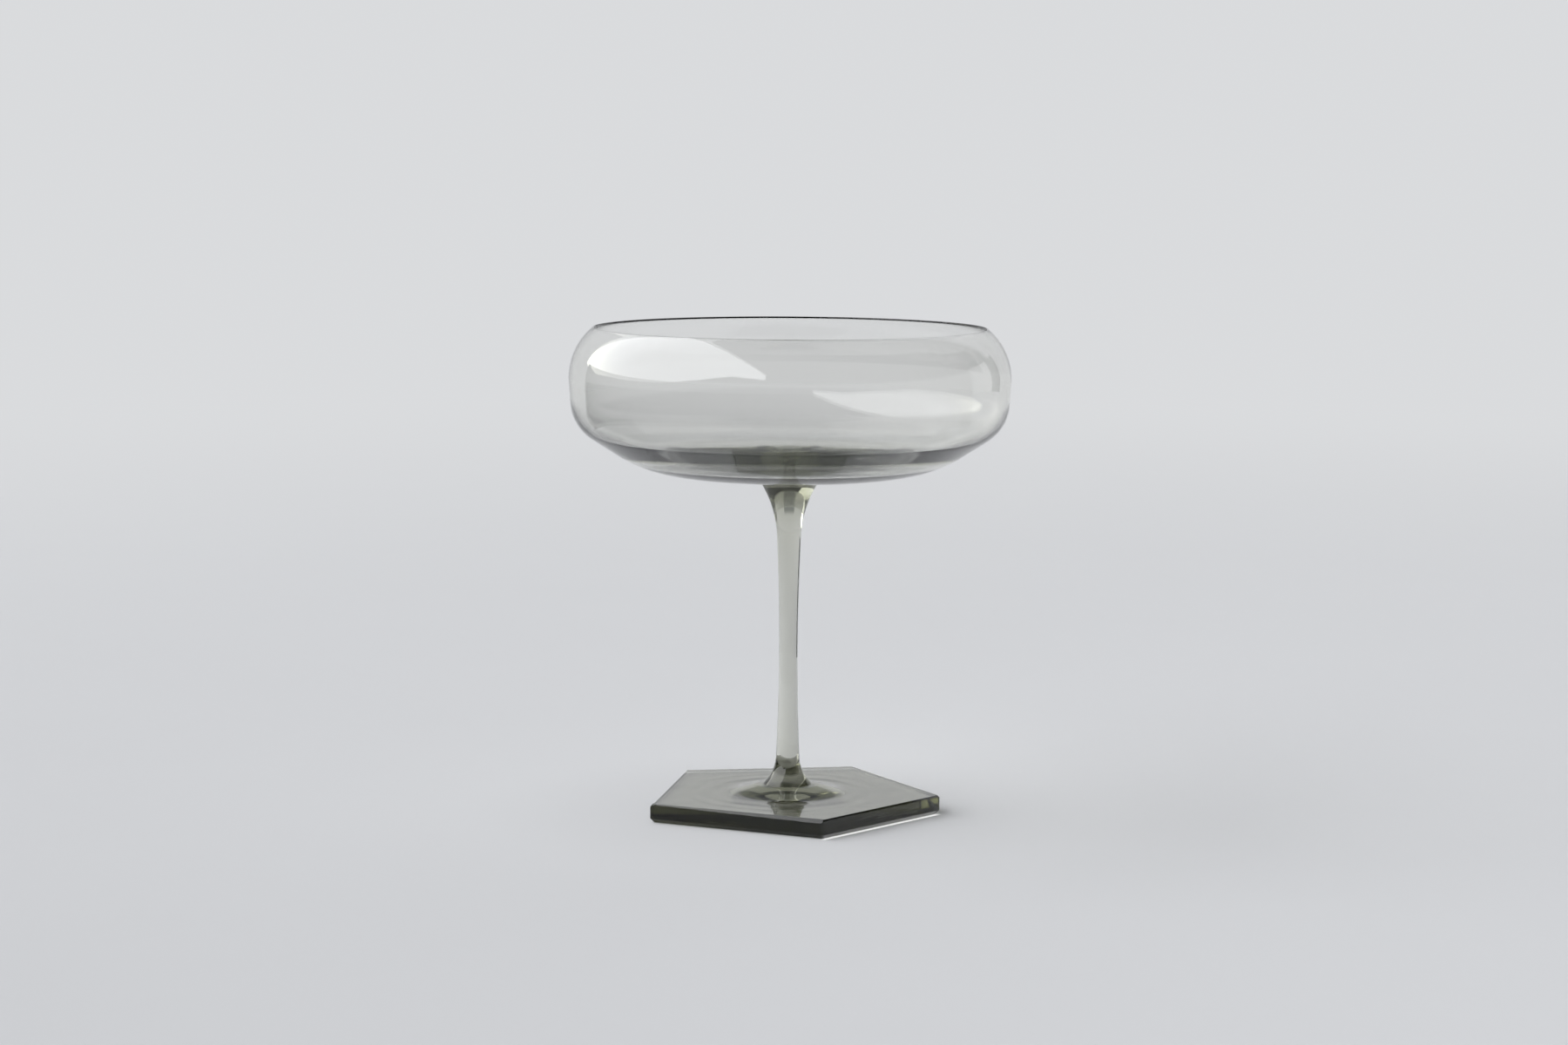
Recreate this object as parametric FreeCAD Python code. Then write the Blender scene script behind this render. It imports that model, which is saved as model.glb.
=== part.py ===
import FreeCAD, Part

import math
import os

# A champagne coupe of three pieces of clear grey glass, joined hot: a foot, a stem and a bowl.
# Lengths are in millimetres and angles in degrees. The origin is on the stem's axis, at the
# underside of the foot, and +Z runs up the stem.

# Foot: a plate cut by hand to five sides, so its corners are not quite evenly spaced
foot_corner_radius = 38.8
foot_corner_angles = (-90.0, -20.0, 50.5, 121.0, 195.5)
foot_corner_round = 1.2
foot_thickness = 4.8
foot_bevel = 1.0

# Skirt: where the top of the foot sweeps up to the stem
skirt_width = 6.4
skirt_rise = 1.9

# Stem: a drawn rod that flares at both ends and is thinnest a little below its middle
stem_length = 77.85
stem_foot_radius = 6.8
stem_foot_flare = 6.7
stem_low_radius = 2.96
stem_waist_radius = 2.34
stem_waist_share = 0.465
stem_high_radius = 3.05
stem_bowl_flare = 14.7
stem_bowl_radius = 8.3

# Bowl: a thin blown shell with a dished base, a leaning wall and a drawn-in shoulder. Its glass
# thickens from the wall to the base and thins from the wall to the lip, and the floor inside
# falls a little from its middle.
bowl_radius = 55.15
bowl_depth = 37.2
bowl_wall = 0.8
rim_wall = 0.55
bowl_floor = 4.6
floor_fall = 3.0
floor_round = 19.5
base_thickening = 3.1
base_radius = 36.0
base_slope = 2.0
base_round = 33.1
underside_slope = 32.7
heel_round = 11.1
wall_lean = 4.35
shoulder_round = 16.4
rim_lean = 50.2

# Most of a straight that one rounded corner may take, beside another corner or beside a plain end
shared_straight_share = 0.47
whole_straight_share = 0.95

origin = FreeCAD.Vector(0, 0, 0)
up = FreeCAD.Vector(0, 0, 1)


def at(radius, height):
    """A point of a half profile, in the plane of X and Z."""
    return FreeCAD.Vector(radius, 0, height)


def heading(angle):
    """The unit direction that climbs by an angle from the outward horizontal."""
    turn = math.radians(angle)
    return at(math.cos(turn), math.sin(turn))


def crossing(first, first_angle, second, second_angle):
    """The point where two lines of the profile meet, each given by a point and its angle."""
    run = heading(first_angle)
    other = heading(second_angle)
    gap = second - first
    along = (gap.x * other.z - gap.z * other.x) / (run.x * other.z - run.z * other.x)
    return first + run * along


def line(start, end):
    return Part.LineSegment(start, end).toShape()


def arc(start, middle, end):
    return Part.Arc(start, middle, end).toShape()


def tangent_arc(start, direction, end):
    """The arc that leaves start along a unit direction and ends at end."""
    chord = end - start
    across = at(-direction.z, direction.x)
    radius = chord.dot(chord) / (2 * chord.dot(across))
    centre = start + across * radius
    outward = ((start - centre) + (end - centre)).normalize()
    return arc(start, centre + outward * abs(radius), end)


def rounded_corner(before, corner, after, radius, share_before, share_after):
    """The arc that rounds a corner, its start and its end, held within the straights beside it."""
    back = before - corner
    on = after - corner
    room = min(back.Length * share_before, on.Length * share_after)
    back.normalize()
    on.normalize()
    half_angle = back.getAngle(on) / 2
    reach = min(radius / math.tan(half_angle), room)
    fitted = reach * math.tan(half_angle)
    start = corner + back * reach
    end = corner + on * reach
    inward = (back + on).normalize()
    middle = corner + inward * (fitted / math.sin(half_angle) - fitted)
    return arc(start, middle, end), start, end


def spun(edges):
    """A solid of revolution about the stem's axis from the edges of a closed half profile."""
    return Part.Face(Part.Wire(edges)).revolve(origin, up, 360)


def foot_plate():
    """The five-sided plate, with eased corners and a ground bevel round its top and bottom."""
    corners = []
    for angle in foot_corner_angles:
        turn = math.radians(angle)
        corners.append(FreeCAD.Vector(math.cos(turn), math.sin(turn), 0) * foot_corner_radius)
    outline = Part.makePolygon(corners + corners[:1])
    plate = Part.Face(outline).extrude(up * foot_thickness)
    upright = [edge for edge in plate.Edges if edge.BoundBox.ZLength > foot_thickness / 2]
    plate = plate.makeFillet(foot_corner_round, upright)
    level = [edge for edge in plate.Edges if edge.BoundBox.ZLength < foot_thickness / 2]
    return plate.makeChamfer(foot_bevel, level)


def foot_skirt():
    """The concave rise that leaves the plate level and ends under the stem's flare."""
    outer = stem_foot_radius + skirt_width
    mid_height = foot_thickness / 2
    tail = at(outer, foot_thickness)
    seat_edge = at(stem_foot_radius, foot_thickness + skirt_rise)
    seat_centre = at(0, foot_thickness + skirt_rise)
    return spun([
        line(at(0, mid_height), at(outer, mid_height)),
        line(at(outer, mid_height), tail),
        tangent_arc(tail, heading(180), seat_edge),
        line(seat_edge, seat_centre),
        line(seat_centre, at(0, mid_height)),
    ])


def foot():
    return foot_plate().fuse(foot_skirt()).removeSplitter()


def stem():
    """The rod: one long hollow arc round the waist, and an arc that flares it at each end."""
    foot_edge = at(stem_foot_radius, 0)
    low = at(stem_low_radius, stem_foot_flare)
    waist = at(stem_waist_radius, stem_length * stem_waist_share)
    high = at(stem_high_radius, stem_length - stem_bowl_flare)
    bowl_edge = at(stem_bowl_radius, stem_length)
    shaft = arc(low, waist, high)
    down = shaft.tangentAt(shaft.FirstParameter) * -1
    upward = shaft.tangentAt(shaft.LastParameter)
    rod = spun([
        line(origin, foot_edge),
        tangent_arc(low, down, foot_edge),
        shaft,
        tangent_arc(high, upward, bowl_edge),
        line(bowl_edge, at(0, stem_length)),
        line(at(0, stem_length), origin),
    ])
    rod.translate(at(0, foot_thickness + skirt_rise))
    return rod


def shoulder(inset, rim_inset):
    """Where a face of the shoulder starts, its arc and its end at the rim."""
    centre = at(bowl_radius - shoulder_round,
                bowl_depth - shoulder_round * math.sin(math.radians(rim_lean)))
    wall_top = centre + heading(-wall_lean) * (shoulder_round - inset)
    rim_end = centre + heading(rim_lean) * (shoulder_round - rim_inset)
    return wall_top, tangent_arc(wall_top, heading(90 - wall_lean), rim_end), rim_end


def shell_side(start, corner, heel, wall_top, corner_round, inset):
    """Edges of one face of the bowl from the start of its base to the top of its wall."""
    turn_out, base_end, side_start = rounded_corner(
        start, corner, heel, corner_round, whole_straight_share, shared_straight_share)
    turn_up, side_end, wall_start = rounded_corner(
        corner, heel, wall_top, heel_round - inset,
        shared_straight_share, whole_straight_share)
    return [
        line(start, base_end),
        turn_out,
        line(side_start, side_end),
        turn_up,
        line(wall_start, wall_top),
    ]


def bowl():
    """The shell: a wall that thickens into a swollen floor and thins to a lip melted round."""
    seat_edge = at(stem_bowl_radius, 0)
    outer_top, outer_shoulder, outer_rim = shoulder(0, 0)
    inner_top, inner_shoulder, inner_rim = shoulder(bowl_wall, rim_wall)
    base_corner = crossing(seat_edge, base_slope, at(base_radius, 0), 90)
    heel = crossing(base_corner, underside_slope, outer_top, 90 - wall_lean)
    outer = shell_side(seat_edge, base_corner, heel, outer_top, base_round, 0)
    inside_underside = base_corner + heading(underside_slope + 90) * bowl_wall
    inner_heel = crossing(inside_underside, underside_slope, inner_top, 90 - wall_lean)
    floor_centre = at(0, bowl_floor)
    floor_corner = crossing(floor_centre, -floor_fall, inner_heel, underside_slope - base_thickening)
    inner = shell_side(floor_centre, floor_corner, inner_heel, inner_top, floor_round, bowl_wall)
    lip_top = (outer_rim + inner_rim) * 0.5 + heading(rim_lean + 90) * (rim_wall / 2)
    lip = arc(outer_rim, lip_top, inner_rim)
    base = line(origin, seat_edge)
    axis = line(floor_centre, origin)
    outside = [base] + outer + [outer_shoulder]
    inside = [inner_shoulder] + inner[::-1]
    shell = spun(outside + [lip] + inside + [axis])
    shell.translate(at(0, foot_thickness + skirt_rise + stem_length))
    return shell


os.makedirs("parts", exist_ok=True)
for name, make in (("foot", foot), ("stem", stem), ("bowl", bowl)):
    shape = make()
    shape.exportStep("parts/" + name + ".step")
    box = shape.optimalBoundingBox()
    print(name, "valid", shape.isValid(), "solids", len(shape.Solids),
          "volume", round(shape.Volume), "mm3, z", round(box.ZMin, 2), "to", round(box.ZMax, 2),
          "x", round(box.XMin, 2), "to", round(box.XMax, 2))
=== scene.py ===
import math

import bpy
from bpy.props import FloatProperty, FloatVectorProperty, IntProperty, PointerProperty
from mathutils import Matrix, Vector


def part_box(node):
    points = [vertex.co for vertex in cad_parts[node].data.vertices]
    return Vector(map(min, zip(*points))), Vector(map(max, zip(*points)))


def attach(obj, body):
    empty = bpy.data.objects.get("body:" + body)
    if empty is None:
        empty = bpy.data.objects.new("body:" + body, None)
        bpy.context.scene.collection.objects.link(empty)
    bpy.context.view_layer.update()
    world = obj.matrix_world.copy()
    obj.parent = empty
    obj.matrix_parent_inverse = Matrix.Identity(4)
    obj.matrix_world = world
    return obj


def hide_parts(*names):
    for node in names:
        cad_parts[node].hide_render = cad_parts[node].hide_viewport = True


bl_info = {
    "name": "Champagne coupe",
    "version": (1, 0, 0),
    "blender": (4, 5, 0),
    "location": "3D View > Sidebar > Coupe",
    "description": "Models a smoke-grey champagne coupe, its bowl, stem and foot, on a pale stage",
    "category": "Add Mesh",
}

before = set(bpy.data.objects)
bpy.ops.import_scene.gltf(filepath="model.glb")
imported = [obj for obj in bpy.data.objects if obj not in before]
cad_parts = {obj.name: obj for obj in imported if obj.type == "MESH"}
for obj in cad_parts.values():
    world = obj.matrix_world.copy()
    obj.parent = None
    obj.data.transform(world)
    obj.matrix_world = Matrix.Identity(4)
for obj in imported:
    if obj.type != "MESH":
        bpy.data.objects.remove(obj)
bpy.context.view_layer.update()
foot_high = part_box("foot")[1]
stem_low, stem_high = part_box("stem")
bowl_low, bowl_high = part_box("bowl")

mm = 0.001
degree = math.pi / 180
full_turn = 2 * math.pi
quarter_turn = full_turn / 4


# Kinds of property

def length(name, description, default):
    return FloatProperty(name=name, description=description, default=default, unit="LENGTH", precision=5)


def lengths(name, description, default):
    return FloatVectorProperty(name=name, description=description, default=default, size=len(default),
                               unit="LENGTH", precision=5)


def angle(name, description, default):
    return FloatProperty(name=name, description=description, default=default * degree, unit="ROTATION")


def angles(name, description, default):
    return FloatVectorProperty(name=name, description=description, size=len(default), unit="ROTATION",
                               default=[turn * degree for turn in default])


def amount(name, description, default, low=0.0):
    return FloatProperty(name=name, description=description, default=default, min=low, precision=4)


def count(name, description, default):
    return IntProperty(name=name, description=description, default=default, min=1)


def colour(name, description, default):
    return FloatVectorProperty(name=name, description=description, default=default, subtype="COLOR",
                               size=3, min=0.0, soft_max=1.0)


# Sizes and finishes that a user would change

class FootSizes(bpy.types.PropertyGroup):
    """Sizes of the foot"""

    corner_radius: length("Corner radius", "From the axis to each sharp corner of the plate", 38.8 * mm)
    corner_angles: angles("Corner angles", "Where each corner of the hand-cut plate points, round from +X",
                          (-90.0, -20.0, 50.5, 121.0, 195.5))
    corner_round: length("Corner rounding", "Radius of the plate's upright edges", 1.2 * mm)
    thickness: length("Thickness", "Thickness of the plate", 4.8 * mm)
    bevel: length("Bottom bevel", "Width of the ground bevel round the bottom", 1.0 * mm)
    bevels_before: lengths("Top bevels before", "Width of the hand-ground top bevel before each corner",
                           [width * mm for width in (0.95, 0.45, 0.9, 0.95, 1.05)])
    bevels_after: lengths("Top bevels after", "Width of the hand-ground top bevel after each corner",
                          [width * mm for width in (0.35, 0.8, 0.95, 1.05, 0.25)])
    button_radius: length("Button radius", "Radius of the low button that the stem stands on", 7.6 * mm)
    button_fall: angle("Button fall", "How far the top of the button falls outwards", 7.0)
    button_round: length("Button rounding", "Radius of the button's edge", 2.5 * mm)
    skirt_radius: length("Skirt radius", "Radius where the skirt round the button meets the plate", 14.0 * mm)
    skirt_round: length("Skirt rounding", "Radius of the turn from skirt to plate", 12.0 * mm)
    ripple_reach: length("Ripple reach", "Radius out to which the top shows the tool's rings", 29.0 * mm)
    ripple_width: length("Ripple width", "From one ring to the next", 5.2 * mm)
    ripple_height: length("Ripple height", "Height of the rings", 0.012 * mm)


class StemSizes(bpy.types.PropertyGroup):
    """Sizes of the stem"""

    foot_radius: length("Foot radius", "Radius where the stem meets the foot", 6.1 * mm)
    foot_slope: angle("Foot slope", "Slope of the last of the flare over the foot", 50.0)
    foot_slope_height: length("Foot slope height", "Height of that last straight slope", 1.3 * mm)
    foot_flare: length("Foot flare", "Height of the flare over the foot", 6.7 * mm)
    low_radius: length("Low radius", "Radius at the top of the lower flare", 2.96 * mm)
    waist_radius: length("Waist radius", "Radius where the stem is thinnest", 2.34 * mm)
    waist_share: amount("Waist height", "Height of the waist, as a share of the stem's length", 0.465)
    high_radius: length("High radius", "Radius at the bottom of the upper flare", 3.05 * mm)
    bowl_flare: length("Bowl flare", "Height of the flare under the bowl", 14.7 * mm)
    bowl_radius: length("Bowl radius", "Radius where the stem meets the bowl", 8.3 * mm)
    melt: length("Melt", "How deep each end is melted into the piece that it joins", 0.03 * mm)


class BowlSizes(bpy.types.PropertyGroup):
    """Sizes of the bowl"""

    radius: length("Radius", "Radius at the widest place", bowl_high.x)
    depth: length("Depth", "From the seat on the stem to the outer edge of the rim", 37.2 * mm)
    wall: length("Wall", "Thickness of the blown wall", 0.8 * mm)
    rim_wall: length("Rim wall", "Thickness that the shoulder thins to at the rim", 0.55 * mm)
    thickening: angle("Thickening", "How far the slanting side inside lies flatter than the underside", 3.1)
    floor: length("Floor", "Thickness of the glass in the middle of the base", 4.6 * mm)
    floor_fall: angle("Floor fall", "How far the floor falls outwards from its middle", 3.0)
    floor_round: length("Floor round", "Radius of the turn at the edge of the floor", 19.5 * mm)
    base_radius: length("Base radius", "Radius where the base turns up into the underside", 36.0 * mm)
    base_slope: angle("Base slope", "Rise of the dished base", 2.0)
    base_round: length("Base round", "Radius of the turn from base to underside", 33.1 * mm)
    underside_slope: angle("Underside slope", "Rise of the slanting underside", 32.7)
    heel_round: length("Heel round", "Radius of the turn from underside to wall", 11.1 * mm)
    wall_lean: angle("Wall lean", "How far the wall leans out", 4.35)
    shoulder_round: length("Shoulder round", "Radius of the drawn-in shoulder", 16.4 * mm)
    rim_lean: angle("Rim lean", "How far round the shoulder the rim stands", 50.2)


class GlassFinish(bpy.types.PropertyGroup):
    """The glass that all three pieces are made of"""

    refraction: amount("Refraction", "Index of refraction", 1.52, low=1.0)
    tint: colour("Tint", "What the glass lets through, per channel, as it takes up light", (0.28, 0.29, 0.11))
    strength: amount("Strength", "How fast the glass takes up light, per metre", 94.0)
    cast: colour("Cast", "Colour of the surface where it is least clear", (0.985, 0.985, 0.99))
    polish: amount("Polish", "Roughness of clean, fire-polished glass", 0.0)
    smear: amount("Smear", "Extra roughness where the glass has been handled", 0.02)
    wave: length("Wave", "Height of the slow waves in the blown wall", 0.05 * mm)
    ripple: length("Ripple", "Height of the quick ripples in the blown wall", 0.006 * mm)


class StageSettings(bpy.types.PropertyGroup):
    """Camera, light and floor"""

    turn: angle("Turn", "Turn of the camera and the stage about the stem", -13.0)
    distance: length("Camera distance", "From the stem's axis to the camera, along the floor", 878.61 * mm)
    height: length("Camera height", "Height of the camera above the floor", 173.62 * mm)
    pan: angle("Camera pan", "Turn of the camera to its right", -0.084)
    pitch: angle("Camera pitch", "Tilt of the camera, down if it is negative", -6.537)
    roll: angle("Camera roll", "Roll of the camera", 0.363)
    lens: amount("Lens", "Focal length in millimetres on a sensor 36 mm wide", 81.08)
    floor_radius: length("Floor radius", "Radius of the pale floor", 6.0)
    floor_gap: length("Floor gap", "How far the floor lies under the foot", 0.15 * mm)
    paper: colour("Paper", "Colour of the floor", (0.80, 0.805, 0.82))
    # The gleam is painted light: an emissive band on the paper that stands in for the light the foot throws
    # onto it
    gleam_turn: angle("Gleam turn", "Which way the gleam beside the foot lies, round from +X", -42.0)
    gleam_reach: length("Gleam reach", "From the stem's axis to the gleam's outer edge", 31.8 * mm)
    painted_gleam_light: colour("Gleam light", "Brightness of the gleam", (0.85, 0.85, 0.85))
    window_light: amount("Window light", "Brightness of the window", 3.2)
    window_plain: colour("Window plain", "Colour of most of the window", (0.82, 0.83, 0.845))
    window_corner: colour("Window corner", "Colour of the window's corner furthest back", (1.12, 1.12, 1.02))
    backdrop_light: colour("Backdrop light", "Brightness of the pale backdrop", (0.70, 0.71, 0.725))
    upper_light: colour("Upper light", "Brightness of the room over the backdrop", (0.32, 0.335, 0.345))
    room_light: colour("Room light", "Brightness of the room beyond the stage", (0.11, 0.11, 0.11))
    surround_left: colour("Surround left", "Brightness of the surround at the left", (0.03, 0.032, 0.033))
    surround_right: colour("Surround right", "Brightness of the surround at the right", (0.45, 0.45, 0.45))


class CoupeSettings(bpy.types.PropertyGroup):
    """Everything about the coupe that a user would change"""

    foot: PointerProperty(type=FootSizes)
    stem: PointerProperty(type=StemSizes)
    bowl: PointerProperty(type=BowlSizes)
    glass: PointerProperty(type=GlassFinish)
    stage: PointerProperty(type=StageSettings)
    segments: count("Segments", "Steps round each turned piece", 192)


# Outlines, drawn as points of radius and height

fewest_arc_steps = 4


def at(radius, height):
    return Vector((radius, height))


def heading(turn):
    """The unit direction that climbs by an angle from the outward horizontal."""
    return at(math.cos(turn), math.sin(turn))


def crossing(first, first_turn, second, second_turn):
    """The point where two lines of an outline meet, each given by a point and its angle."""
    run = heading(first_turn)
    other = heading(second_turn)
    return first + run * ((second - first).cross(other) / run.cross(other))


def straight(start, end, spacing):
    """Points along a straight, without its first one."""
    steps = max(1, round((end - start).length / spacing))
    return [start.lerp(end, step / steps) for step in range(1, steps + 1)]


def curved(centre, start, end, spacing):
    """Points along the shorter arc about a centre, without its first one."""
    spoke = start - centre
    last = end - centre
    turn = math.atan2(spoke.cross(last), spoke.dot(last))
    first_turn = math.atan2(spoke.y, spoke.x)
    steps = max(fewest_arc_steps, round(abs(turn) * spoke.length / spacing))
    return [centre + heading(first_turn + turn * step / steps) * spoke.length for step in range(1, steps + 1)]


def leaving_centre(start, direction, end):
    """The centre of the arc that leaves start along a unit direction and ends at end."""
    chord = end - start
    across = at(-direction.y, direction.x)
    return start + across * (chord.length_squared / (2 * chord.dot(across)))


def centre_through(first, second, third):
    """The centre of the circle through three points."""
    chord = second - first
    other = third - first
    half = 0.5 / chord.cross(other)
    return first + at(chord.length_squared * other.y - other.length_squared * chord.y,
                      other.length_squared * chord.x - chord.length_squared * other.x) * half


def tangent(centre, point, rise):
    """The unit direction along an arc at one of its points: up where rise is 1, down where it is -1."""
    along = (point - centre).orthogonal().normalized()
    return along if along.y * rise > 0 else -along


def corner_centre(before, corner, after, radius):
    """The centre of the arc that rounds a corner."""
    back = (before - corner).normalized()
    on = (after - corner).normalized()
    return corner + (back + on).normalized() * (radius / math.sin(back.angle(on) / 2))


def rounded(before, corner, after, radius, spacing):
    """The points of the arc that rounds a corner, its own first one among them."""
    back = (before - corner).normalized()
    on = (after - corner).normalized()
    reach = radius / math.tan(back.angle(on) / 2)
    centre = corner_centre(before, corner, after, radius)
    return [corner + back * reach] + curved(centre, corner + back * reach, corner + on * reach, spacing)


def rounded_path(start, corners, end, spacing):
    """Points along straights with rounded corners between them, without the first one.

    Corners are pairs of a place and the radius that rounds it.
    """
    stops = [start] + [place for place, radius in corners] + [end]
    points = []
    last = start
    for before, (place, radius), after in zip(stops, corners, stops[2:]):
        arc = rounded(before, place, after, radius, spacing)
        points += straight(last, arc[0], spacing) + arc[1:]
        last = arc[-1]
    return points + straight(last, end, spacing)


# Modelling steps

weld_distance = 0.001 * mm
level_tolerance = 0.01 * mm
smooth_limit = 30 * degree


def start_piece(add, **where):
    """Deselects all, adds a primitive and opens it in edit mode with all of its vertices selected."""
    bpy.ops.object.select_all(action="DESELECT")
    add(enter_editmode=True, **where)
    bpy.ops.mesh.select_mode(type="VERT")
    bpy.ops.mesh.select_all(action="SELECT")
    return bpy.context.object


def weld_seams():
    """In edit mode, merges the vertices that lie on one another."""
    bpy.ops.mesh.select_all(action="SELECT")
    bpy.ops.mesh.remove_doubles(threshold=weld_distance)


def close_mesh():
    """Leaves edit mode and puts the origin of the piece at the frame's."""
    bpy.ops.object.mode_set(mode="OBJECT")
    bpy.ops.object.transform_apply(location=True, rotation=True, scale=True)


def finish_piece(piece, name, material):
    """Closes the seams, turns the faces outwards, smooths the piece and gives it its name and glass."""
    weld_seams()
    bpy.ops.mesh.normals_make_consistent(inside=False)
    close_mesh()
    bpy.ops.object.shade_smooth_by_angle(angle=smooth_limit)
    piece.name = name
    piece.data.name = name
    piece.data.materials.append(material)


def draw_outline(points):
    """Draws an outline in the plane of X and Z as a run of edges, from one vertex, in edit mode."""
    first = points[0]
    piece = start_piece(bpy.ops.mesh.primitive_plane_add, size=mm, location=(first.x, 0, first.y))
    bpy.ops.mesh.merge(type="CENTER")
    for before, after in zip(points, points[1:]):
        step = after - before
        bpy.ops.mesh.extrude_region_move(TRANSFORM_OT_translate={"value": (step.x, 0, step.y)})
    bpy.ops.mesh.select_all(action="SELECT")
    return piece


def spin_outline(points, segments, turn=full_turn):
    """Turns an outline about the stem's axis."""
    piece = draw_outline(points)
    bpy.ops.mesh.spin(steps=segments, angle=turn, center=(0, 0, 0), axis=(0, 0, 1))
    return piece


def move_corners(piece, numbers, places):
    """In edit mode, moves each of the numbered vertices to a place of its own and selects them all."""
    for number, place in zip(numbers, places):
        bpy.ops.mesh.select_all(action="DESELECT")
        bpy.ops.object.mode_set(mode="OBJECT")
        vertex = piece.data.vertices[number]
        vertex.select = True
        move = Vector(place) - vertex.co
        bpy.ops.object.mode_set(mode="EDIT")
        bpy.ops.transform.translate(value=move)
    bpy.ops.object.mode_set(mode="OBJECT")
    for number in numbers:
        piece.data.vertices[number].select = True
    bpy.ops.object.mode_set(mode="EDIT")
    bpy.ops.mesh.select_mode(type="VERT")


def polygon(corners):
    """A flat face with its corners at the given places, in edit mode."""
    piece = start_piece(bpy.ops.mesh.primitive_circle_add, vertices=len(corners), radius=1.0,
                        fill_type="NGON", location=(0, 0, 0))
    move_corners(piece, range(len(corners)), corners)
    return piece


def raise_face(piece, places):
    """In edit mode, extrudes the selected face and moves each of its new corners to a place of its own."""
    bpy.ops.mesh.extrude_region_move(TRANSFORM_OT_translate={"value": (0, 0, 0)})
    bpy.ops.object.mode_set(mode="OBJECT")
    ring = [vertex.index for vertex in piece.data.vertices if vertex.select]
    bpy.ops.object.mode_set(mode="EDIT")
    move_corners(piece, ring, places)


def select_faces_at(piece, height):
    """In edit mode, selects just the faces whose middle lies at a height."""
    bpy.ops.mesh.select_all(action="DESELECT")
    bpy.ops.mesh.select_mode(type="FACE")
    bpy.ops.object.mode_set(mode="OBJECT")
    for face in piece.data.polygons:
        face.select = abs(face.center.z - height) < level_tolerance
    bpy.ops.object.mode_set(mode="EDIT")


# Shader maths

white = (1.0, 1.0, 1.0)
black = (0.0, 0.0, 0.0)
evenly = (1.0, 1.0, 1.0)


class Wire:
    """A socket of a node tree. Sums, products and the like add their Math nodes."""

    def __init__(self, tree, socket):
        self.tree = tree
        self.socket = socket

    def math(self, operation, *values):
        inputs = dict(enumerate(values))
        return self.tree.node("ShaderNodeMath", {"operation": operation}, inputs)["Value"]

    def __add__(self, other):
        return self.math("ADD", self, other)

    def __radd__(self, other):
        return self.math("ADD", other, self)

    def __sub__(self, other):
        return self.math("SUBTRACT", self, other)

    def __rsub__(self, other):
        return self.math("SUBTRACT", other, self)

    def __mul__(self, other):
        return self.math("MULTIPLY", self, other)

    def __rmul__(self, other):
        return self.math("MULTIPLY", other, self)

    def __truediv__(self, other):
        return self.math("DIVIDE", self, other)

    def __rtruediv__(self, other):
        return self.math("DIVIDE", other, self)

    def root(self):
        return self.math("SQRT", self)

    def sine(self):
        return self.math("SINE", self)

    def most(self, other):
        return self.math("MAXIMUM", self, other)

    def eased(self, low, high):
        """0 below low and 1 above high, with a smooth change between them."""
        settings = {"interpolation_type": "SMOOTHSTEP"}
        inputs = {"Value": self, "From Min": low, "From Max": high}
        return self.tree.node("ShaderNodeMapRange", settings, inputs)["Result"]

    def parts(self):
        """The X, Y and Z of a vector."""
        made = self.tree.node("ShaderNodeSeparateXYZ", {}, {"Vector": self})
        return made["X"], made["Y"], made["Z"]


class Made:
    """A new node, whose outputs are asked for by name, or by number where names are shared."""

    def __init__(self, tree, node):
        self.tree = tree
        self.node = node

    def __getitem__(self, name):
        return Wire(self.tree, self.node.outputs[name])


class Tree:
    """The nodes of one material or of the world."""

    # Numbers of the Mix node's colour sockets, which share their names with sockets of other kinds
    mix_first = 6
    mix_second = 7
    mix_result = 2

    def __init__(self, owner):
        owner.use_nodes = True
        self.nodes = owner.node_tree.nodes
        self.links = owner.node_tree.links
        self.nodes.clear()

    def node(self, kind, settings=None, inputs=None):
        """Adds a node, sets its settings first, then gives each of its sockets a value or a link."""
        node = self.nodes.new(kind)
        for name, value in (settings or {}).items():
            setattr(node, name, value)
        for name, value in (inputs or {}).items():
            socket = node.inputs[name]
            if isinstance(value, Wire):
                self.links.new(value.socket, socket)
            else:
                socket.default_value = value
        return Made(self, node)

    def place(self):
        """The place of a point on its piece, in metres."""
        return self.node("ShaderNodeTexCoord")["Object"]

    def noise(self, place, size, detail=2.0, stretch=evenly):
        """Smooth noise from 0 to 1, with lumps of about a size."""
        scale = [share / size for share in stretch]
        spread = self.node("ShaderNodeVectorMath", {"operation": "MULTIPLY"}, {0: place, 1: scale})["Vector"]
        inputs = {"Vector": spread, "Scale": 1.0, "Detail": detail, "Roughness": 0.5}
        return self.node("ShaderNodeTexNoise", {}, inputs)["Fac"]

    def blend(self, share, first, second):
        """A colour between two colours."""
        first, second = [end if isinstance(end, Wire) else (*end, 1.0) for end in (first, second)]
        inputs = {"Factor": share, self.mix_first: first, self.mix_second: second}
        return self.node("ShaderNodeMix", {"data_type": "RGBA"}, inputs)[self.mix_result]

    def glow(self, light, strength=1.0):
        """Light of a colour, to be shown or mixed."""
        light = light if isinstance(light, Wire) else (*light, 1.0)
        return self.node("ShaderNodeEmission", {}, {"Color": light, "Strength": strength})["Emission"]

    def mix(self, share, first, second):
        """A surface between two surfaces."""
        return self.node("ShaderNodeMixShader", {}, {0: share, 1: first, 2: second})["Shader"]

    def show(self, surface, volume=None):
        """Ends a material in a surface, and in a volume where one is given."""
        inputs = {"Surface": surface}
        if volume is not None:
            inputs["Volume"] = volume
        self.node("ShaderNodeOutputMaterial", {}, inputs)


def new_material(name):
    """A new material and its empty tree."""
    material = bpy.data.materials.new(name)
    return material, Tree(material)


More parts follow.
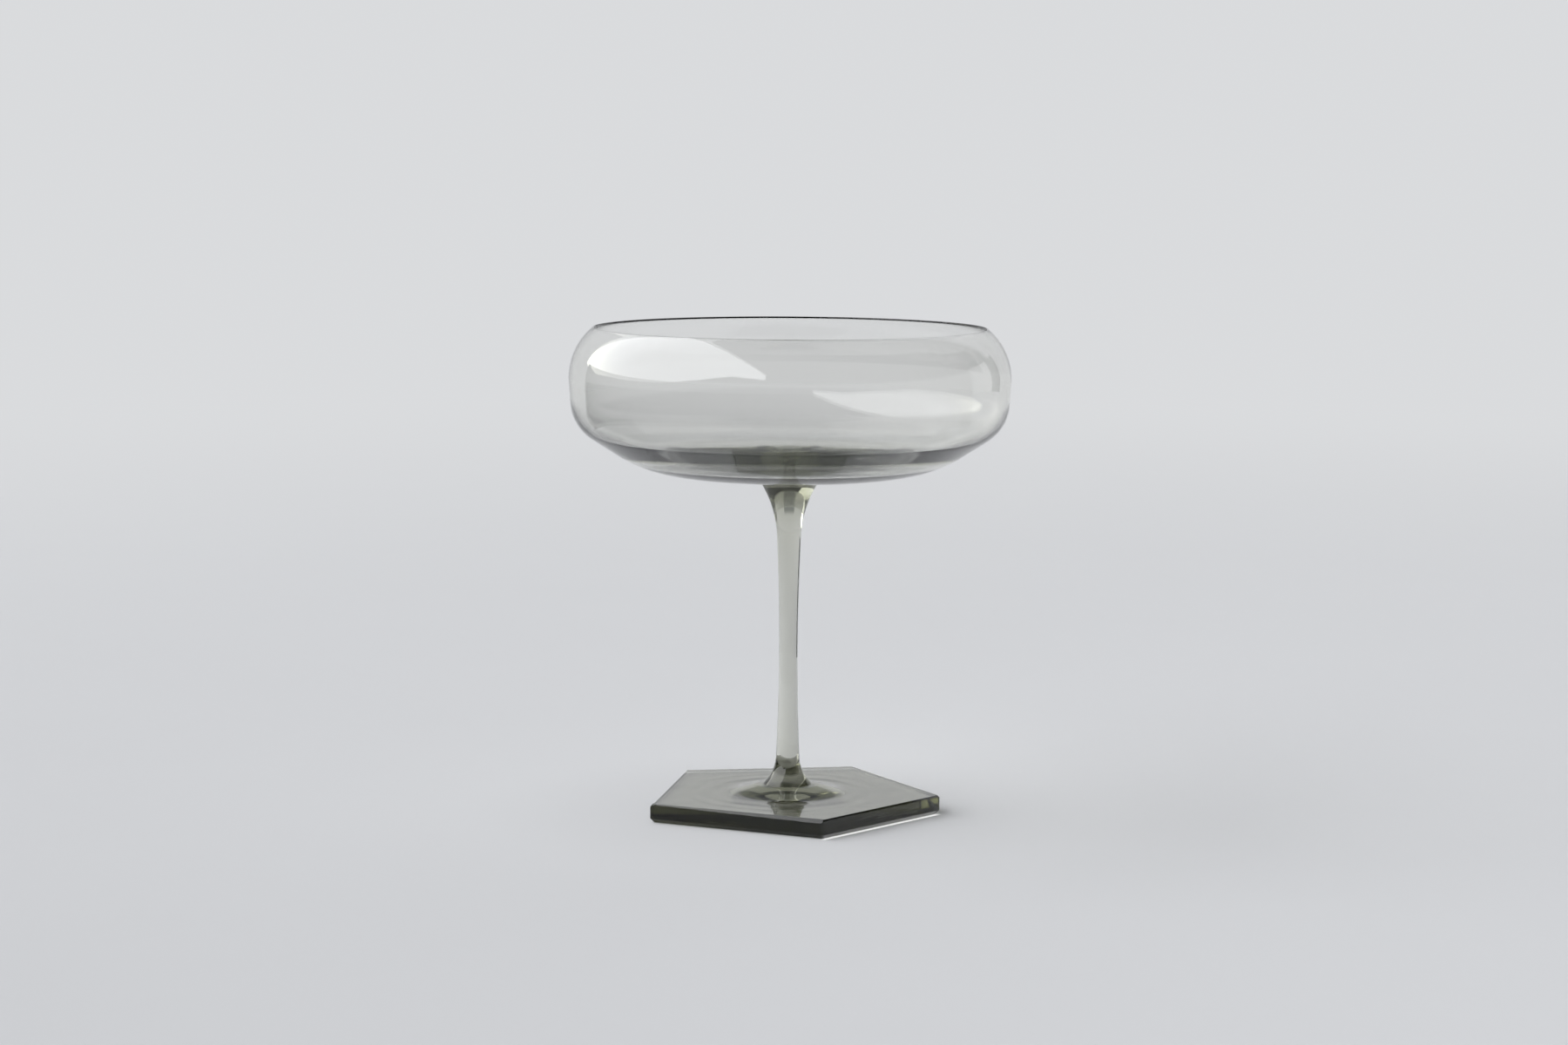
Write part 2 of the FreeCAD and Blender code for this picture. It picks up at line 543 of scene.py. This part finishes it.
def glass_material(name, settings, relief, smear_width, smear_start, cast_width, cast_stretch=evenly):
    """Clear glass that takes up light as it gets thicker.

    Relief is a function of the tree and the place on the piece, and gives a height in metres. Noise
    as wide as smear_width smears the surface where it is over smear_start, and noise as wide as
    cast_width turns its colour slightly.
    """
    smear_full = 0.8
    material, tree = new_material(name)
    place = tree.place()
    bump = tree.node("ShaderNodeBump", {}, {"Height": relief(tree, place), "Distance": 1.0, "Strength": 1.0})
    cast = tree.noise(place, cast_width, stretch=cast_stretch)
    handled = tree.noise(place, smear_width, detail=3.0).eased(smear_start, smear_full)
    surface = tree.node("ShaderNodeBsdfPrincipled", {}, {
        "Base Color": tree.blend(cast, white, settings.cast),
        "Roughness": handled * settings.smear + settings.polish,
        "Normal": bump["Normal"],
        "IOR": settings.refraction,
        "Transmission Weight": 1.0,
    })
    inside = tree.node("ShaderNodeVolumeAbsorption", {}, {
        "Color": (*settings.tint, 1.0),
        "Density": settings.strength,
    })
    tree.show(surface["BSDF"], inside["Volume"])
    return material


# The blown bowl

def shoulder_arc(sizes, inset, rim_inset, spacing):
    """The drawn-in shoulder of one face of the shell: where it starts, and its points up to the rim."""
    rise = sizes.shoulder_round * math.sin(sizes.rim_lean)
    centre = at(sizes.radius - sizes.shoulder_round, sizes.depth - rise)
    wall_top = centre + heading(-sizes.wall_lean) * (sizes.shoulder_round - inset)
    rim_end = centre + heading(sizes.rim_lean) * (sizes.shoulder_round - rim_inset)
    own_centre = leaving_centre(wall_top, heading(quarter_turn - sizes.wall_lean), rim_end)
    return wall_top, curved(own_centre, wall_top, rim_end, spacing)


def outer_face(sizes, seat_edge, base_corner, spacing):
    """From the stem's edge over the base, the underside and the wall to the rim."""
    wall_top, shoulder = shoulder_arc(sizes, 0, 0, spacing)
    heel = crossing(base_corner, sizes.underside_slope, wall_top, quarter_turn - sizes.wall_lean)
    corners = [(base_corner, sizes.base_round), (heel, sizes.heel_round)]
    return rounded_path(seat_edge, corners, wall_top, spacing) + shoulder


def inner_face(sizes, base_corner, spacing):
    """From the middle of the floor over the slanting side and the wall to the rim."""
    wall_top, shoulder = shoulder_arc(sizes, sizes.wall, sizes.rim_wall, spacing)
    above = base_corner + heading(sizes.underside_slope + quarter_turn) * sizes.wall
    heel = crossing(above, sizes.underside_slope, wall_top, quarter_turn - sizes.wall_lean)
    floor_centre = at(0, sizes.floor)
    floor_corner = crossing(floor_centre, -sizes.floor_fall, heel, sizes.underside_slope - sizes.thickening)
    corners = [(floor_corner, sizes.floor_round), (heel, sizes.heel_round - sizes.wall)]
    return [floor_centre] + rounded_path(floor_centre, corners, wall_top, spacing) + shoulder


def bowl_outline(sizes, stem):
    """The shell's outline, from the axis under its base, over the lip and back to the axis inside."""
    spacing = 0.9 * mm
    lip_spacing = sizes.rim_wall / 10
    axis = at(0, 0)
    seat_edge = at(stem.bowl_radius, 0)
    base_corner = crossing(seat_edge, sizes.base_slope, at(sizes.base_radius, 0), quarter_turn)
    outer = outer_face(sizes, seat_edge, base_corner, spacing)
    inner = inner_face(sizes, base_corner, spacing)
    lip = curved(outer[-1].lerp(inner[-1], 0.5), outer[-1], inner[-1], lip_spacing)
    points = [axis] + straight(axis, seat_edge, spacing) + outer + lip + inner[-2::-1]
    return [point + at(0, bowl_low.z) for point in points]


def bowl_glass(settings):
    """Blown glass, with slow waves and quicker ripples."""
    wave_width = 34 * mm
    ripple_width = 11 * mm
    ripple_stretch = (1.0, 1.0, 1.6)

    def relief(tree, place):
        slow = tree.noise(place, wave_width, detail=1.0)
        quick = tree.noise(place, ripple_width, detail=1.0, stretch=ripple_stretch)
        return slow * settings.wave + quick * settings.ripple

    return glass_material("bowl_glass", settings, relief, smear_width=19 * mm, smear_start=0.52,
                          cast_width=26 * mm)


class COUPE_OT_bowl(bpy.types.Operator):
    """Blow the bowl: a thin shell with a dished base and a melted lip"""

    bl_idname = "coupe.bowl"
    bl_label = "Bowl"

    def execute(self, context):
        coupe = context.scene.coupe
        piece = spin_outline(bowl_outline(coupe.bowl, coupe.stem), coupe.segments)
        finish_piece(piece, "blown_bowl", bowl_glass(coupe.glass))
        piece.visible_shadow = False
        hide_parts("bowl")
        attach(piece, "root")
        return {"FINISHED"}


# The drawn stem

def stem_outline(sizes):
    """The rod's outline, from the axis at its foot to the axis under the bowl."""
    spacing = 0.6 * mm
    shaft_spacing = 2 * spacing
    height = stem_high.z - stem_low.z
    foot_edge = at(sizes.foot_radius, 0)
    slope_top = foot_edge + at(-1 / math.tan(sizes.foot_slope), 1) * sizes.foot_slope_height
    low = at(sizes.low_radius, sizes.foot_flare)
    waist = at(sizes.waist_radius, height * sizes.waist_share)
    high = at(sizes.high_radius, height - sizes.bowl_flare)
    bowl_edge = at(sizes.bowl_radius, height)
    centre = centre_through(low, waist, high)
    lower_centre = leaving_centre(low, tangent(centre, low, -1), slope_top)
    upper_centre = leaving_centre(high, tangent(centre, high, 1), bowl_edge)
    lower = curved(lower_centre, low, slope_top, spacing)
    upper = curved(upper_centre, high, bowl_edge, spacing)
    sunk = at(0, sizes.melt)
    points = [at(0, 0) - sunk, foot_edge - sunk, foot_edge] + straight(foot_edge, slope_top, spacing)
    points += lower[-2::-1] + [low] + curved(centre, low, high, shaft_spacing) + upper
    points += [bowl_edge + sunk, at(0, height) + sunk]
    return [point + at(0, stem_low.z) for point in points]


def stem_glass(settings):
    """Drawn glass, with fine lines that run up it and slow waves."""
    line_width = 2.2 * mm
    line_height = 0.004 * mm
    line_stretch = (1.0, 1.0, 0.04)
    wave_width = 14 * mm
    wave_height = 0.06 * mm

    def relief(tree, place):
        drawn = tree.noise(place, line_width, detail=2.0, stretch=line_stretch)
        slow = tree.noise(place, wave_width, detail=1.0)
        return drawn * line_height + slow * wave_height

    return glass_material("stem_glass", settings, relief, smear_width=9 * mm, smear_start=0.55,
                          cast_width=7 * mm, cast_stretch=(1.0, 1.0, 0.2))


class COUPE_OT_stem(bpy.types.Operator):
    """Draw the stem: a rod that flares into the foot and into the bowl"""

    bl_idname = "coupe.stem"
    bl_label = "Stem"

    def execute(self, context):
        coupe = context.scene.coupe
        piece = spin_outline(stem_outline(coupe.stem), coupe.segments)
        finish_piece(piece, "drawn_stem", stem_glass(coupe.glass))
        piece.visible_shadow = False
        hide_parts("stem")
        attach(piece, "root")
        return {"FINISHED"}


# The cut foot

def plate_outline(sizes):
    """Points round the plate, each with its outward direction and the width of the top bevel there."""
    spacing = sizes.corner_round / 4
    corners = [heading(turn) * sizes.corner_radius for turn in sizes.corner_angles]
    outline = []
    for number, corner in enumerate(corners):
        beside = corners[number - 1], corner, corners[(number + 1) % len(corners)]
        centre = corner_centre(*beside, sizes.corner_round)
        arc = rounded(*beside, sizes.corner_round, spacing)
        for step, point in enumerate(arc):
            share = step / (len(arc) - 1)
            width = sizes.bevels_before[number] * (1 - share) + sizes.bevels_after[number] * share
            outline.append((point, (point - centre).normalized(), width))
    return outline


def plate(sizes):
    """The plate, raised ring by ring from its underside, over its sides, to the edge of its top."""
    top = sizes.thickness
    outline = plate_outline(sizes)
    piece = polygon([(*(point - outward * sizes.bevel), 0) for point, outward, width in outline])
    raise_face(piece, [(*point, sizes.bevel) for point, outward, width in outline])
    raise_face(piece, [(*point, top - width) for point, outward, width in outline])
    raise_face(piece, [(*(point - outward * width), top) for point, outward, width in outline])
    return piece


def skirt_outline(sizes, stem):
    """The top of the foot from its axis over the button and its skirt, out to the end of its rings."""
    spacing = 0.45 * mm
    seat_edge = at(stem.foot_radius, foot_high.z)
    button = crossing(seat_edge, -sizes.button_fall, at(sizes.button_radius, 0), quarter_turn)
    tail = at(sizes.skirt_radius, sizes.thickness)
    end = at(sizes.ripple_reach, sizes.thickness)
    corners = [(button, sizes.button_round), (tail, sizes.skirt_round)]
    return [at(0, foot_high.z), seat_edge] + rounded_path(seat_edge, corners, end, spacing)


def foot_glass(settings, sizes):
    """Cut glass, with slow waves and faint rings round the stem that the tool left."""
    wave_width = 16 * mm
    wave_height = 0.05 * mm
    fade_start = sizes.ripple_reach * 0.5
    fade_end = sizes.ripple_reach * 1.2

    def relief(tree, place):
        x, y, z = place.parts()
        slow = tree.noise(place, wave_width, detail=1.0)
        reach = (x * x + y * y).root() + slow * sizes.ripple_width
        fade = 1 - reach.eased(fade_start, fade_end)
        rings = (reach * (full_turn / sizes.ripple_width)).sine() * fade
        return slow * wave_height + rings * sizes.ripple_height

    return glass_material("foot_glass", settings, relief, smear_width=12 * mm, smear_start=0.5,
                          cast_width=14 * mm)


class COUPE_OT_foot(bpy.types.Operator):
    """Cut the foot: a five-sided plate with ground bevels and a skirt that rises to the stem"""

    bl_idname = "coupe.foot"
    bl_label = "Foot"

    def execute(self, context):
        coupe = context.scene.coupe
        sizes = coupe.foot
        piece = plate(sizes)
        select_faces_at(piece, sizes.thickness)
        bpy.ops.mesh.delete(type="FACE")
        bpy.ops.object.mode_set(mode="OBJECT")
        spin_outline(skirt_outline(sizes, coupe.stem), coupe.segments)
        weld_seams()
        close_mesh()
        piece.select_set(True)
        context.view_layer.objects.active = piece
        bpy.ops.object.join()
        bpy.ops.object.mode_set(mode="EDIT")
        bpy.ops.mesh.select_all(action="DESELECT")
        bpy.ops.mesh.select_mode(type="EDGE")
        bpy.ops.mesh.select_non_manifold()
        bpy.ops.mesh.fill(use_beauty=True)
        finish_piece(piece, "cut_foot", foot_glass(coupe.glass, sizes))
        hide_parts("foot")
        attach(piece, "root")
        return {"FINISHED"}


# The stage

lift = 1 * mm


def close_stage_piece(piece, name, turn, material):
    """Names a piece of the stage, gives it its material and turns it with the camera."""
    close_mesh()
    piece.name = name
    piece.rotation_euler.z = turn
    piece.data.materials.append(material)


def paper_material(settings):
    """Lit paper near the glass, which turns into the even light of the backdrop further out.

    Round the foot it carries a faint painted shade. Along one side of the foot lies a thin painted gleam, a
    band of emission that stands in for the light that the foot throws.
    """
    mottle_width = 90 * mm
    mottle_low = 0.985
    shade_start = 0.03
    # Where the painted shade round the foot starts and ends, and how dark it gets
    shade_end = 0.085
    shade_share = 0.06
    # Edges of the painted gleam beside the foot
    gleam_inner = (-1.3 * mm, -1.0 * mm)
    gleam_outer = (-0.1 * mm, 0.3 * mm)
    gleam_end = (21 * mm, 23 * mm)
    paper_end = 0.25
    backdrop_start = 1.3
    material, tree = new_material("paper")
    place = tree.place()
    x, y, z = place.parts()
    reach = (x * x + y * y).root()
    mottle = tree.noise(place, mottle_width, detail=4.0)
    pale = tree.blend(mottle, [channel * mottle_low for channel in settings.paper], settings.paper)
    # Painted shade: the paper's colour is darkened round the foot, where the foot's contact shadow falls.
    near = 1 - reach.eased(shade_start, shade_end)
    paper_with_painted_shade = tree.blend(near * shade_share, pale, black)
    paper = tree.node("ShaderNodeBsdfDiffuse", {}, {"Color": paper_with_painted_shade, "Roughness": 0.5})["BSDF"]
    # Painted light: a band of emission along one side of the foot, in place of the light that the foot throws
    # onto the paper.
    side = heading(settings.gleam_turn)
    out = x * side.x + y * side.y - settings.gleam_reach
    across = y * side.x - x * side.y
    along = across.most(0 - across)
    painted_gleam_mask = out.eased(*gleam_inner) * (1 - out.eased(*gleam_outer)) * (1 - along.eased(*gleam_end))
    paper_with_painted_gleam = tree.mix(painted_gleam_mask, paper, tree.glow(settings.painted_gleam_light))
    far = reach.eased(paper_end, backdrop_start)
    tree.show(tree.mix(far, paper_with_painted_gleam, tree.glow(settings.backdrop_light)))
    return material


def floor(settings):
    """The sheet of paper that the glass stands on, which reaches far beyond the view."""
    piece = start_piece(bpy.ops.mesh.primitive_circle_add, vertices=96, radius=settings.floor_radius,
                        fill_type="NGON", location=(0, 0, -settings.floor_gap))
    bpy.ops.mesh.inset(thickness=settings.floor_radius / 2)
    close_stage_piece(piece, "floor", settings.turn, paper_material(settings))


def room(settings):
    """The world: pale low down and behind the stage, dark elsewhere.

    Its edges are angles from straight back and, for the top and the low part, from level.
    """
    side_full = 44 * degree
    side_end = 50 * degree
    top_full = 58 * degree
    top_end = 70 * degree
    low_full = 8 * degree
    low_end = 16 * degree
    least_flat = 0.001
    world = bpy.data.worlds.new("room")
    bpy.context.scene.world = world
    tree = Tree(world)
    x, y, z = tree.node("ShaderNodeTexCoord")["Generated"].parts()
    back = Vector((-math.sin(settings.turn), math.cos(settings.turn)))
    flat = (x * x + y * y).root()
    straight_back = (x * back.x + y * back.y) / flat.most(least_flat)
    behind = straight_back.eased(math.cos(side_end), math.cos(side_full))
    below_top = 1 - z.eased(math.sin(top_full), math.sin(top_end))
    low = 1 - z.eased(math.sin(low_full), math.sin(low_end))
    pale = (behind * below_top).most(low)
    light = tree.blend(pale, settings.room_light, settings.backdrop_light)
    glow = tree.node("ShaderNodeBackground", {}, {"Color": light, "Strength": 1.0})
    tree.node("ShaderNodeOutputWorld", {}, {"Surface": glow["Background"]})


def window_material(settings):
    """Daylight, stronger and warmer in the corner of the window that is furthest back."""
    plain_end = -0.6
    corner_full = 1.6
    material, tree = new_material("window_light")
    x, y, z = tree.place().parts()
    corner = (y - z).eased(plain_end, corner_full)
    light = tree.blend(corner, settings.window_plain, settings.window_corner)
    tree.show(tree.glow(light, settings.window_light))
    return material


def window(settings):
    """The large window on the left, whose lower edge climbs towards the camera's side.

    Its corners are given as the bowl sees them: how far back and up, as shares of how far away.
    """
    away = 2.0
    bowl_height = 0.1
    outline = ((1.0, 0.24), (1.0, 2.25), (-4.28, 2.25), (-4.28, 1.55), (-1.66, 0.83), (-0.87, 0.35),
               (-0.38, 0.12), (0.03, 0.08), (0.31, 0.09), (0.58, 0.085))
    corners = [(-away, back * away, up * away + bowl_height) for back, up in outline]
    piece = polygon(corners)
    close_stage_piece(piece, "window", settings.turn, window_material(settings))
    piece.visible_camera = False


def screen(settings, name, profile, steps, start, span, material, through=False):
    """A part of a drum round the stem that shows in the glass's reflections and lights nothing else.

    It covers the angle span from start, counted from the camera's right round the back. It shows
    through the glass too where through is set.
    """
    piece = spin_outline(profile, steps, turn=-span)
    bpy.ops.object.mode_set(mode="OBJECT")
    bpy.ops.transform.rotate(value=-start, orient_axis="Z", center_override=(0, 0, 0))
    close_stage_piece(piece, name, settings.turn, material)
    piece.visible_camera = False
    piece.visible_diffuse = False
    piece.visible_transmission = through
    piece.visible_shadow = False
    piece.visible_volume_scatter = False


def surround_material(settings):
    """A dim room, dark on the window's side and lighter towards the other."""
    dark_end = -0.8
    light_full = 0.9
    material, tree = new_material("surround")
    x, y, z = tree.place().parts()
    share = (x / (x * x + y * y).root()).eased(dark_end, light_full)
    tree.show(tree.glow(tree.blend(share, settings.surround_left, settings.surround_right)))
    return material


def surround(settings):
    """The room beyond the sheet of paper: its ground shows in and through the glass, its wall only in it."""
    steps = 64
    inner = 0.235
    outer = 1.8
    height = 0.42
    start = 140 * degree
    span = 236 * degree
    ground = [at(inner, lift), at(outer, lift)]
    wall = [at(outer, lift), at(outer, height)]
    for name, profile, through in (("surround_ground", ground, True), ("surround_wall", wall, False)):
        screen(settings, name, profile, steps, start, span, surround_material(settings), through)


def card(settings):
    """The white card that stands on the right, and the dark gap between it and the backdrop."""
    steps = 12
    reach = 0.9
    height = 0.36
    profile = [at(reach, lift), at(reach, height)]
    for name, start, span, strength in (("card", 16, 19, 1.0), ("gap", 35, 11, 0.05)):
        material, tree = new_material(name)
        tree.show(tree.glow(white, strength))
        screen(settings, name, profile, steps, start * degree, span * degree, material)


def upper_room(settings):
    """The top of the pale backdrop and the dim room over it."""
    steps = 12
    reach = 0.5
    low = 0.15
    dim_full = 0.20
    high = 1.6
    start = 78 * degree
    span = 24 * degree
    profile = [at(reach, low), at(reach, high)]
    material, tree = new_material("upper_room")
    x, y, z = tree.place().parts()
    over = z.eased(low, dim_full)
    tree.show(tree.glow(tree.blend(over, settings.backdrop_light, settings.upper_light)))
    screen(settings, "upper_room", profile, steps, start, span, material, through=True)


def camera(context, settings):
    """The camera, with its place and aim in front of the glass before the stage is turned."""
    turn = Matrix.Rotation(settings.turn, 4, "Z")
    place = turn @ Vector((0, -settings.distance, settings.height))
    aim = turn @ Matrix.Rotation(-settings.pan, 4, "Z")
    aim = aim @ Matrix.Rotation(quarter_turn + settings.pitch, 4, "X")
    aim = aim @ Matrix.Rotation(settings.roll, 4, "Z")
    bpy.ops.object.camera_add(location=place, rotation=aim.to_euler())
    piece = context.object
    piece.name = "camera"
    piece.data.sensor_width = 36
    piece.data.lens = settings.lens
    context.scene.camera = piece


def light_paths(context):
    """Plain colours, and enough bounces for light to cross every wall of the glass."""
    context.scene.view_settings.view_transform = "Standard"
    cycles = context.scene.cycles
    cycles.max_bounces = 32
    cycles.transmission_bounces = 32
    cycles.glossy_bounces = 16


class COUPE_OT_stage(bpy.types.Operator):
    """Set the stage: a pale floor, a room with one large window, and the camera"""

    bl_idname = "coupe.stage"
    bl_label = "Stage"

    def execute(self, context):
        settings = context.scene.coupe.stage
        for part in (floor, room, window, surround, card, upper_room):
            part(settings)
        camera(context, settings)
        light_paths(context)
        return {"FINISHED"}


class COUPE_PT_panel(bpy.types.Panel):
    """Lists the coupe's pieces, its glass and its stage"""

    bl_idname = "COUPE_PT_panel"
    bl_label = "Champagne coupe"
    bl_space_type = "VIEW_3D"
    bl_region_type = "UI"
    bl_category = "Coupe"

    def draw(self, context):
        coupe = context.scene.coupe
        layout = self.layout
        for operator, group in ((COUPE_OT_foot, coupe.foot), (COUPE_OT_stem, coupe.stem),
                                (COUPE_OT_bowl, coupe.bowl), (COUPE_OT_stage, coupe.stage)):
            layout.operator(operator.bl_idname)
            self.list_settings(group)
        layout.label(text="Glass")
        self.list_settings(coupe.glass)
        layout.prop(coupe, "segments")

    def list_settings(self, group):
        box = self.layout.box()
        for name in group.__annotations__:
            box.prop(group, name)


classes = (FootSizes, StemSizes, BowlSizes, GlassFinish, StageSettings, CoupeSettings,
           COUPE_OT_foot, COUPE_OT_stem, COUPE_OT_bowl, COUPE_OT_stage, COUPE_PT_panel)


def register():
    for kind in classes:
        bpy.utils.register_class(kind)
    bpy.types.Scene.coupe = PointerProperty(type=CoupeSettings)


def unregister():
    del bpy.types.Scene.coupe
    for kind in reversed(classes):
        bpy.utils.unregister_class(kind)


def main():
    register()
    bpy.ops.coupe.stage()
    bpy.ops.coupe.foot()
    bpy.ops.coupe.stem()
    bpy.ops.coupe.bowl()


if __name__ == "__main__":
    main()
